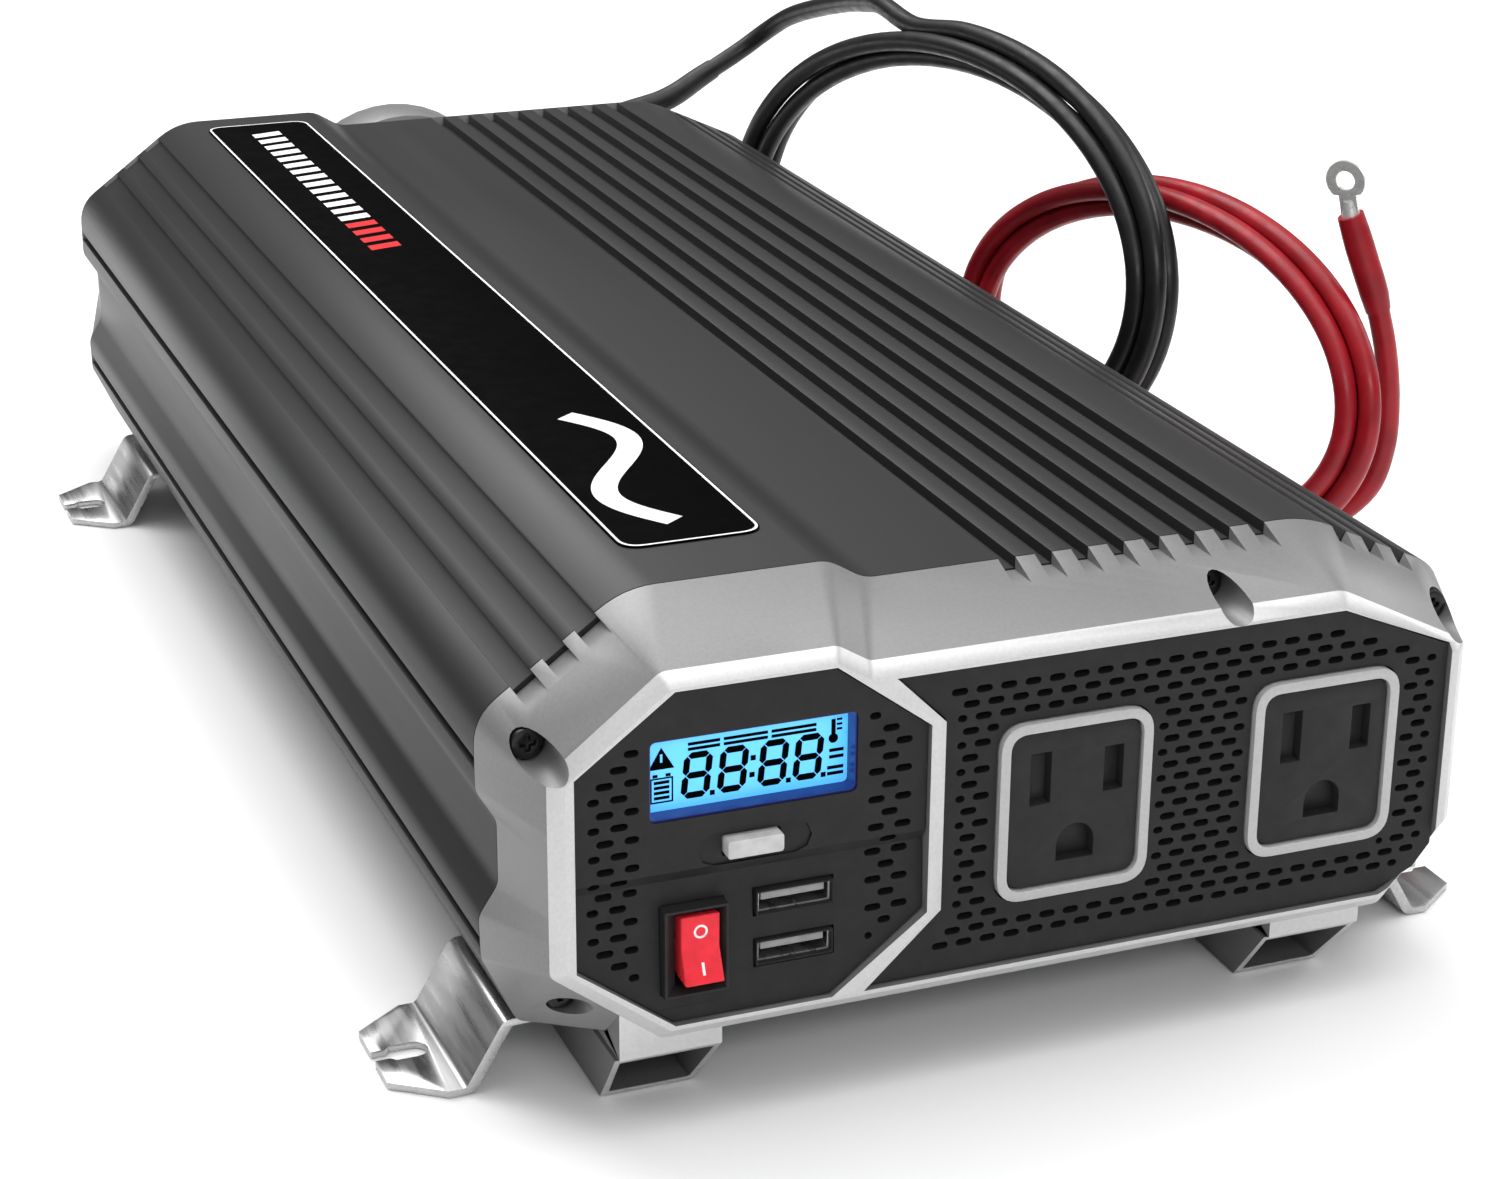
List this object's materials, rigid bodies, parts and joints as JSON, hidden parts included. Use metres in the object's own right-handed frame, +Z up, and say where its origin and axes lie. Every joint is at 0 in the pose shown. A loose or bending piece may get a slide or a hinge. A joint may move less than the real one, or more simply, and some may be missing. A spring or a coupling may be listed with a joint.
{
  "type": "power inverter",
  "caption": "Power inverter: grooved metal body with grounded sockets, USB ports, display, rocker switch, rear fan, mounting brackets and coiled battery cables.",
  "frame": {"origin": "centre of the footprint of the body and its brackets, on the surface that the foot rails and brackets stand on", "axes": "+X to the right as seen by someone facing the sockets, +Y from the socket end to the fan end, +Z up"},
  "size_m": [0.2579, 0.3891, 0.1107],
  "materials": {
    "graphite_paint": "satin dark grey coating",
    "silver_paint": "satin silver coating",
    "panel_black": "matte",
    "label_black": "smooth printed film",
    "zinc_steel": "bright zinc plate",
    "rail_paint": "satin dark grey coating",
    "screw_black": "black oxide",
    "display_glass": "backlit display pane",
    "grey_plastic": "matte",
    "red_plastic": "smooth",
    "satin_metal": "satin",
    "board_green": "solder mask",
    "ferrite": "taped winding on a dark core",
    "capacitor_blue": "printed sleeve",
    "cable_black": "smooth jacket",
    "cable_red": "smooth jacket",
    "tin_plate": "tin plate"
  },
  "bodies": {
    "housing": {"upper_shell": "graphite_paint", "lower_shell": "graphite_paint", "front_bezel": "silver_paint", "rear_cap": "silver_paint", "display_panel": "panel_black", "outlet_panel": "panel_black", "display_module": "panel_black", "menu_switch": "panel_black", "rocker_housing": "panel_black", "outlet_left": "panel_black", "outlet_right": "panel_black", "fan_frame": "panel_black", "fan_grille": "panel_black", "top_label": "label_black", "foot_rail_left": "rail_paint", "foot_rail_right": "rail_paint", "bracket_front_left": "zinc_steel", "bracket_front_right": "zinc_steel", "bracket_rear_left": "zinc_steel", "bracket_rear_right": "zinc_steel", "bracket_screw_front_left": "screw_black", "bracket_screw_front_right": "screw_black", "bracket_screw_rear_left": "screw_black", "bracket_screw_rear_right": "screw_black", "bezel_screw_1": "screw_black", "bezel_screw_2": "screw_black", "bezel_screw_3": "screw_black", "bezel_screw_4": "screw_black", "bezel_screw_5": "screw_black", "rear_cap_screw_1": "screw_black", "rear_cap_screw_2": "screw_black", "rear_cap_screw_3": "screw_black", "rear_cap_screw_4": "screw_black", "display_window": "display_glass", "usb_tongue_1": "grey_plastic", "usb_tongue_2": "grey_plastic", "usb_shell_1": "satin_metal", "usb_shell_2": "satin_metal", "outlet_ring_left": "satin_metal", "outlet_ring_right": "satin_metal", "heatsink_left": "satin_metal", "heatsink_right": "satin_metal", "main_board": "board_green", "control_board": "board_green", "transformer": "ferrite", "capacitor": "capacitor_blue", "black_boot": "cable_black", "black_cable_lead": "cable_black", "black_cable_coil": "cable_black", "black_terminal_sleeve": "cable_black", "red_boot": "cable_red", "red_cable_lead": "cable_red", "red_cable_coil": "cable_red", "red_cable_tail": "cable_red", "red_terminal_sleeve": "cable_red", "black_ring_terminal": "tin_plate", "red_ring_terminal": "tin_plate"},
    "rocker": {"rocker_paddle": "red_plastic"},
    "menu_key": {"menu_button": "grey_plastic"},
    "fan_impeller": {"fan_rotor": "panel_black"}
  },
  "joints": [
    {"name": "rocker_tilt", "type": "hinge", "parent": "housing", "child": "rocker", "pos_m": [-0.056, -0.18339, 0.0306], "axis": [1, 0, 0], "range_deg": [0, 24]},
    {"name": "menu_press", "type": "slide", "parent": "housing", "child": "menu_key", "axis": [0, 1, 0], "range_m": [0, 0.001], "stiffness_N_per_m": 300, "springref_m": -0.001},
    {"name": "fan_spin", "type": "hinge", "parent": "housing", "child": "fan_impeller", "pos_m": [0, 0.149, 0.049], "axis": [0, 1, 0], "continuous": true}
  ]
}
